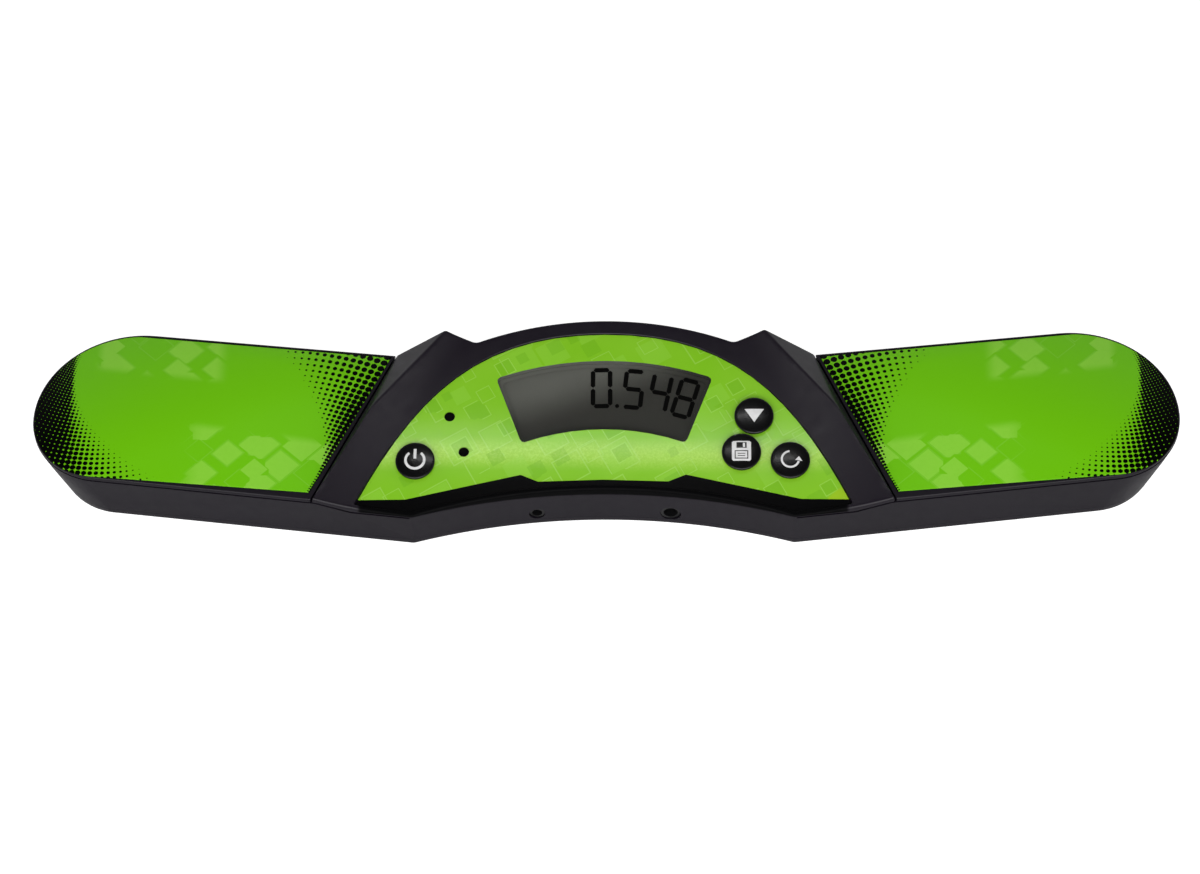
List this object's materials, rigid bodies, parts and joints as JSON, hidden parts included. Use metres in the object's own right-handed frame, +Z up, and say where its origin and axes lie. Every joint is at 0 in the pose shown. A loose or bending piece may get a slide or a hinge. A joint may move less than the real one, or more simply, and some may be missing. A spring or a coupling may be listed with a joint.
{
  "type": "speed cube timer",
  "caption": "Long low timer for speed cubing, with two flat touch-pad wings swept back from a raised console that has a curved display window and round push buttons.",
  "frame": {"origin": "middle of the footprint, on the table under the rubber feet", "axes": "+X to the user's right along the length, +Y away from the user, +Z up"},
  "size_m": [0.29, 0.055, 0.023],
  "materials": {
    "case_black": "fine satin",
    "console_black": "satin",
    "printed_face": "printed green film under a satin coat",
    "strip_black": "gloss black film",
    "window": "clear lens, lightly smoked",
    "display_glass": "grey reflective display",
    "display_ink": "dark segments",
    "holder_white": "moulded",
    "contact_rubber": "matt",
    "board": "solder mask",
    "chip": "moulded",
    "ceramic": "ceramic",
    "button_black": "polished, with a white symbol",
    "switch_black": "moulded",
    "lamp": "smoked lens, unlit",
    "jack_black": "moulded",
    "ribbon": "flat cable",
    "printed_pad": "printed green film",
    "steel": "plated",
    "lead_red": "insulation",
    "cell_jacket": "plain jacket",
    "foot_rubber": "matt"
  },
  "bodies": {
    "case": {"main_shell": "case_black", "bottom_cover": "case_black", "console_cover": "console_black", "face_overlay": "printed_face", "front_strip": "strip_black", "lcd_window": "window", "lcd_glass": "display_glass", "lcd_digits": "display_ink", "lcd_holder": "holder_white", "contact_strip": "contact_rubber", "main_board": "board", "controller_chip": "chip", "board_capacitors": "ceramic", "tact_switches": "switch_black", "left_led": "lamp", "right_led": "lamp", "io_board": "board", "data_jack": "jack_black", "display_jack": "jack_black", "board_ribbon": "ribbon", "left_pad": "printed_pad", "right_pad": "printed_pad", "left_sensor_plate": "steel", "right_sensor_plate": "steel", "left_sensor_lead": "lead_red", "right_sensor_lead": "lead_red", "front_cell": "cell_jacket", "rear_cell": "cell_jacket", "battery_springs": "steel", "battery_terminals": "steel", "battery_bridge": "steel", "battery_leads": "lead_red", "case_screws": "steel", "cover_screws": "steel", "board_screws": "steel", "rubber_feet": "foot_rubber"},
    "power_key": {"power_button": "button_black", "power_switch_pin": "switch_black"},
    "down_key": {"down_button": "button_black", "down_switch_pin": "switch_black"},
    "save_key": {"save_button": "button_black", "save_switch_pin": "switch_black"},
    "reset_key": {"reset_button": "button_black", "reset_switch_pin": "switch_black"},
    "door": {"battery_door": "case_black"}
  },
  "joints": [
    {"name": "power_press", "type": "slide", "parent": "case", "child": "power_key", "axis": [0, 0.2087, -0.978], "range_m": [0, 0.00035], "stiffness_N_per_m": 1500, "springref_m": -0.0003},
    {"name": "down_press", "type": "slide", "parent": "case", "child": "down_key", "axis": [0, 0.2087, -0.978], "range_m": [0, 0.00035], "stiffness_N_per_m": 1500, "springref_m": -0.0003},
    {"name": "save_press", "type": "slide", "parent": "case", "child": "save_key", "axis": [0, 0.2087, -0.978], "range_m": [0, 0.00035], "stiffness_N_per_m": 1500, "springref_m": -0.0003},
    {"name": "reset_press", "type": "slide", "parent": "case", "child": "reset_key", "axis": [0, 0.2087, -0.978], "range_m": [0, 0.00035], "stiffness_N_per_m": 1500, "springref_m": -0.0003},
    {"name": "door_open", "type": "hinge", "parent": "case", "child": "door", "pos_m": [0, -0.00275, 0.0016], "axis": [-1, 0, 0], "range_deg": [0, 50]}
  ]
}
